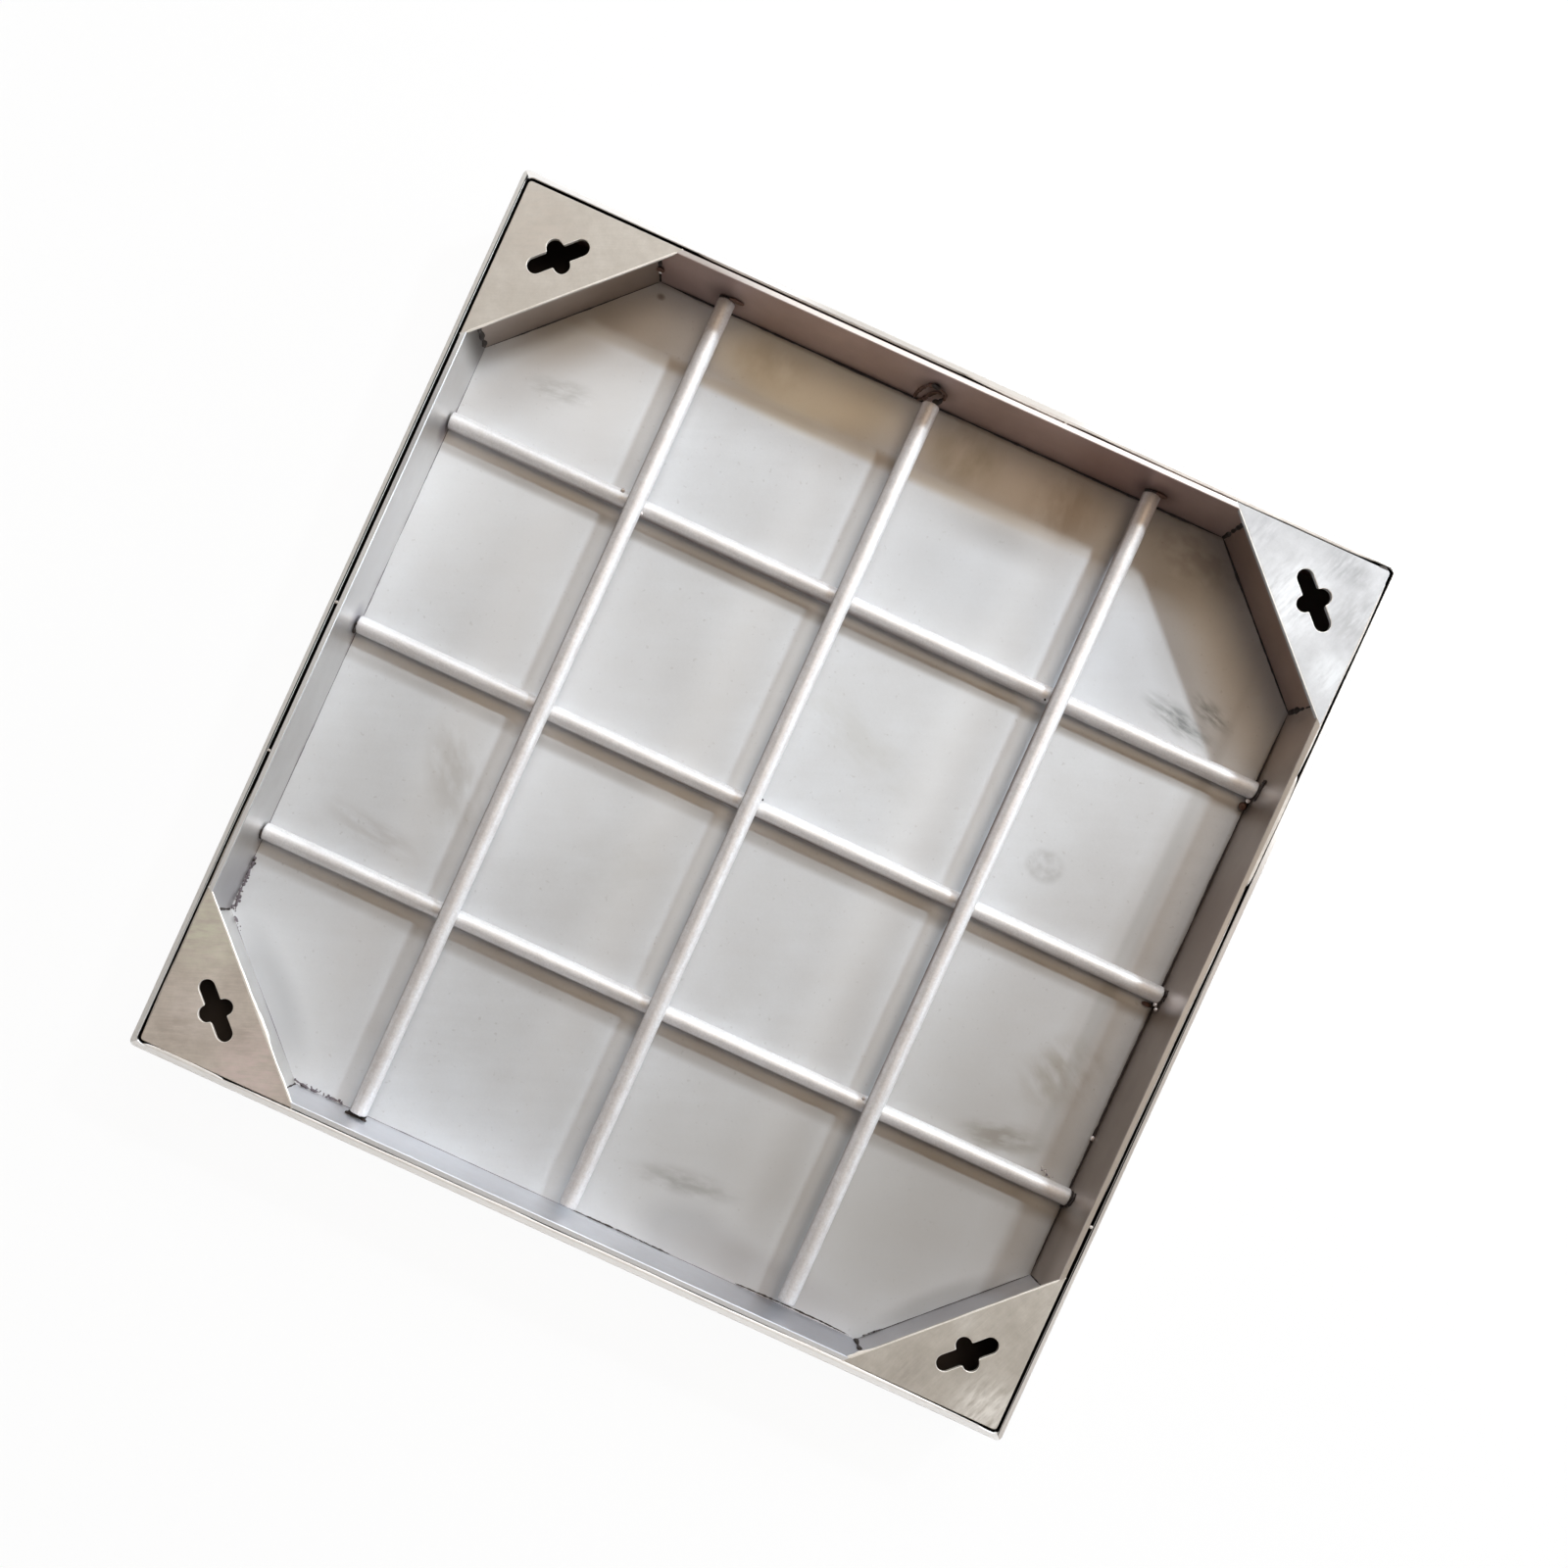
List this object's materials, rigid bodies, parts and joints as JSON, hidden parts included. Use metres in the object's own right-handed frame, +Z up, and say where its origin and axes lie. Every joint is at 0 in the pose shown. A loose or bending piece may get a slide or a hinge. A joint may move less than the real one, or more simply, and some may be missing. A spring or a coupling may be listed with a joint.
{
  "type": "recessed paving cover",
  "caption": "Square stainless steel recessed paving cover: a folded ledge frame holding a lift-out tray with flush keyhole corner plates and crossed rods on its floor.",
  "frame": {"origin": "centre of the square frame's underside", "axes": "+Z up towards the rim, long rods along Y, cross rods along X"},
  "size_m": [0.5, 0.5, 0.05],
  "materials": {
    "frame": "plain stainless sheet, ground rim",
    "tray_floor": "dull stainless sheet, cloudy handling stains",
    "tray_wall": "satin stainless sheet, ground rim",
    "corner_plate": "stainless sheet, ground flush in fine straight strokes",
    "corner_web": "satin stainless sheet, weld stains at the ends",
    "rod": "pickled round bar, slightly pitted"
  },
  "bodies": {
    "root": {"frame_side_front": "frame", "frame_side_right": "frame", "frame_side_back": "frame", "frame_side_left": "frame", "tray_floor": "tray_floor", "tray_wall_front": "tray_wall", "tray_wall_right": "tray_wall", "tray_wall_back": "tray_wall", "tray_wall_left": "tray_wall", "corner_plate_front_right": "corner_plate", "corner_plate_back_right": "corner_plate", "corner_plate_back_left": "corner_plate", "corner_plate_front_left": "corner_plate", "corner_web_front_right": "corner_web", "corner_web_back_right": "corner_web", "corner_web_back_left": "corner_web", "corner_web_front_left": "corner_web", "cross_rod_front": "rod", "cross_rod_middle": "rod", "cross_rod_back": "rod", "long_rod_left": "rod", "long_rod_middle": "rod", "long_rod_right": "rod"}
  },
  "joints": []
}
